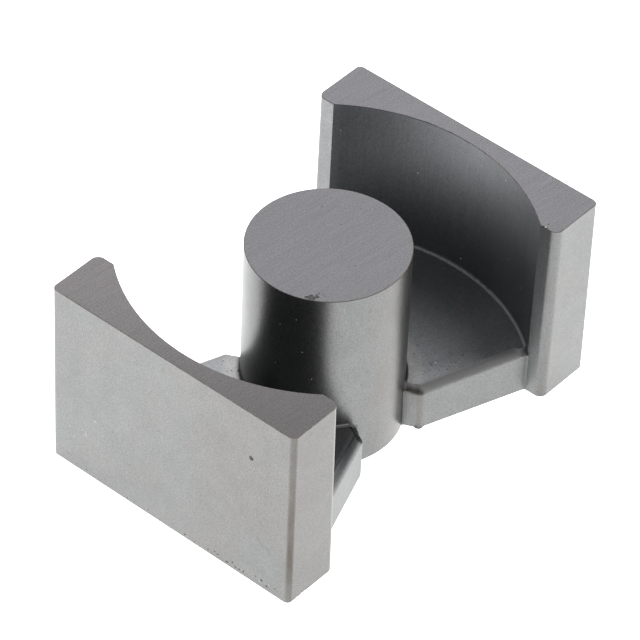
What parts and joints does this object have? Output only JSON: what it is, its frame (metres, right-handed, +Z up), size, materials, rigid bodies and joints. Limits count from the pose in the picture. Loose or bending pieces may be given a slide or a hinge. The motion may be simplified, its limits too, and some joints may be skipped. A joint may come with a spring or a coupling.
{
  "type": "pq ferrite core half",
  "caption": "Ferrite core half with a round centre post, two outer legs with concave inner faces, and a flared back plate that is open on both sides.",
  "frame": {"origin": "middle of the flat underside, on the centre post's axis", "axes": "+Z up along the centre post to the pole faces, +X through the two legs, +Y towards one open side"},
  "size_m": [0.041, 0.0278, 0.0199],
  "materials": {
    "ferrite": "satin"
  },
  "bodies": {
    "root": {"pq_core_half": "ferrite"}
  },
  "joints": []
}
